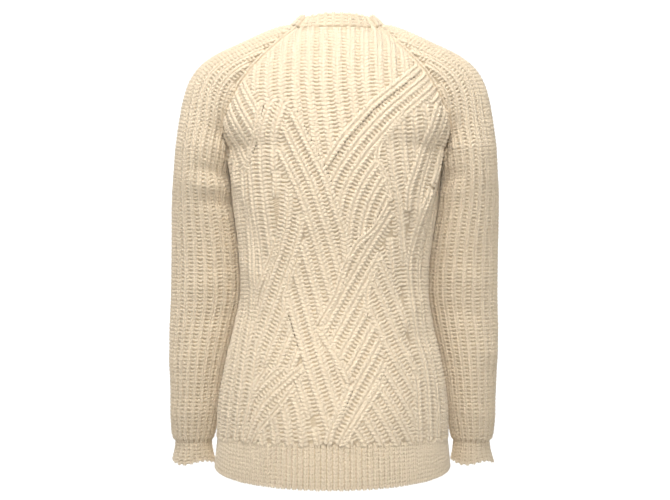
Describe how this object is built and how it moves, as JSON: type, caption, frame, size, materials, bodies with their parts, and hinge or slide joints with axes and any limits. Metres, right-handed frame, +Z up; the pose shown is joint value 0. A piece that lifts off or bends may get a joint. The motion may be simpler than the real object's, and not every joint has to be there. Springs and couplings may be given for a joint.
{
  "type": "cable knit sweater",
  "caption": "Chunky raglan pullover with a plaited rib lattice, crew neckband, ribbed hem and cuffs, standing hollow in its worn shape.",
  "frame": {"origin": "centre of the neck opening at the height of the neckband's seam, where the wearer's shoulders carry the garment", "axes": "+Z up along the garment, -Y towards the front, +X towards the wearer's left"},
  "size_m": [0.4714, 0.2389, 0.6536],
  "materials": {
    "lattice_knit": "chunky ivory wool, raised ribs in a plaited lattice",
    "sleeve_knit": "chunky ivory wool, raised ribs along the sleeve",
    "rib_knit": "ivory wool in a close rib"
  },
  "bodies": {
    "root": {"back_panel": "lattice_knit", "front_panel": "lattice_knit", "sleeve_left": "sleeve_knit", "sleeve_right": "sleeve_knit", "neckband": "rib_knit", "hem_rib_back": "rib_knit", "hem_rib_front": "rib_knit", "cuff_left": "rib_knit", "cuff_right": "rib_knit"}
  },
  "joints": []
}
